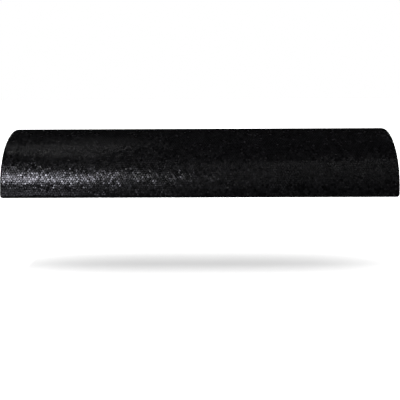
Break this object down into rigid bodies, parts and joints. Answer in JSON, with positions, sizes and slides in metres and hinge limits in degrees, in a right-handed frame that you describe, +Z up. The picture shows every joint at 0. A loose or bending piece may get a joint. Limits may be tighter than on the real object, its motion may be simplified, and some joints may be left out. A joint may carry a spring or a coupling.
{
  "type": "half round foam roller",
  "caption": "Half round foam roller: a firm moulded foam bar with a pebbled black skin, flat underneath and round on top, for balance, stretching and massage.",
  "frame": {"origin": "middle of the flat face that the roller lies on", "axes": "+X along the roller towards the end at the right of the picture, +Y away from the picture's camera, +Z up out of the flat face"},
  "size_m": [0.457, 0.1478, 0.074],
  "materials": {
    "moulded_skin": "black, pebbled by its fused foam beads, with a satin sheen",
    "foam_core": "black fused bead foam, dull"
  },
  "bodies": {
    "root": {"foam_core": "foam_core", "curved_skin": "moulded_skin", "base_skin": "moulded_skin", "left_end_skin": "moulded_skin", "right_end_skin": "moulded_skin"}
  },
  "joints": []
}
